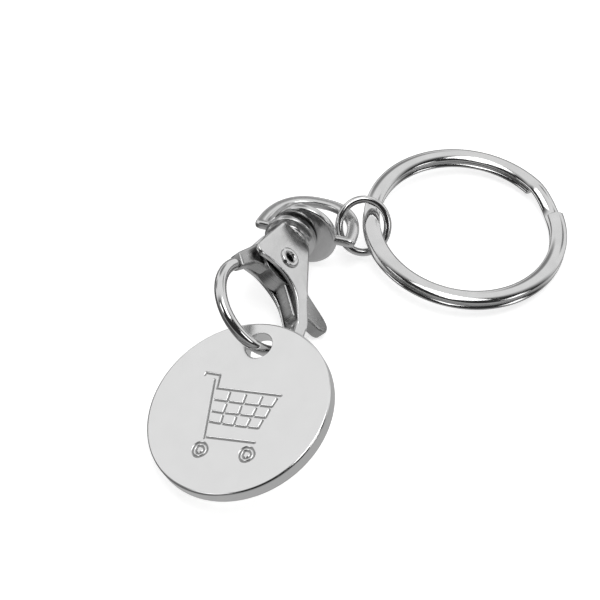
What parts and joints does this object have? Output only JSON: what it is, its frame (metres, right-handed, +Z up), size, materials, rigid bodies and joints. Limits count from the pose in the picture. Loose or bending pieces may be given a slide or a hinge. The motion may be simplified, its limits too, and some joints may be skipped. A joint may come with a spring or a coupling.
{
  "type": "coin holder keyring",
  "caption": "Snap hook on a split ring, carrying a trolley token the size of a one-euro coin by a hole near its edge.",
  "frame": {"origin": "on the table under the middle of the keyring's box", "axes": "+Z up from the table; +X from the coin and hook towards the split ring; +Y away from the viewer of the picture"},
  "size_m": [0.0526, 0.0564, 0.0125],
  "materials": {
    "nickel_plated_zinc": "bright nickel plating on die-cast zinc",
    "nickel_plated_steel": "bright nickel plating on steel wire and strip",
    "polished_nickel_coin": "mirror-polished nickel plating",
    "grey_label": "smooth domed resin over grey"
  },
  "bodies": {
    "hook": {"hook_body": "nickel_plated_zinc", "rivet": "nickel_plated_steel", "trigger_spring": "nickel_plated_steel"},
    "gate_lever": {"trigger": "nickel_plated_zinc"},
    "swivel": {"swivel_eye": "nickel_plated_zinc"},
    "link": {"link": "nickel_plated_steel"},
    "ring": {"split_ring": "nickel_plated_steel"},
    "token": {"coin": "polished_nickel_coin", "coin_label": "grey_label"}
  },
  "joints": [
    {"name": "gate", "type": "hinge", "parent": "hook", "child": "gate_lever", "pos_m": [-0.01083, 0.00554, 0.00585], "axis": [0.6726, -0.0268, 0.7396], "range_deg": [0, 38], "stiffness_Nm_per_rad": 0.02, "springref_deg": -17.19},
    {"name": "swivel", "type": "hinge", "parent": "hook", "child": "swivel", "pos_m": [-0.01083, 0.00554, 0.00585], "axis": [-0.2569, -0.9456, 0.1994], "continuous": true},
    {"name": "coin_hang", "type": "hinge", "parent": "hook", "child": "token", "pos_m": [-0.01274, -0.00853, 0.00708], "axis": [0.7364, 0.1232, -0.6652], "range_deg": [-60, 60]},
    {"name": "link_hang", "type": "hinge", "parent": "swivel", "child": "link", "pos_m": [-0.00148, 0.01443, 0.004], "axis": [0.2116, -0.956, 0.2032], "range_deg": [-35, 60]},
    {"name": "ring_hang", "type": "hinge", "parent": "link", "child": "ring", "pos_m": [0.00105, 0.01412, 0.00335], "axis": [-0.0698, 0.9976, 0], "range_deg": [-80, 15]}
  ]
}
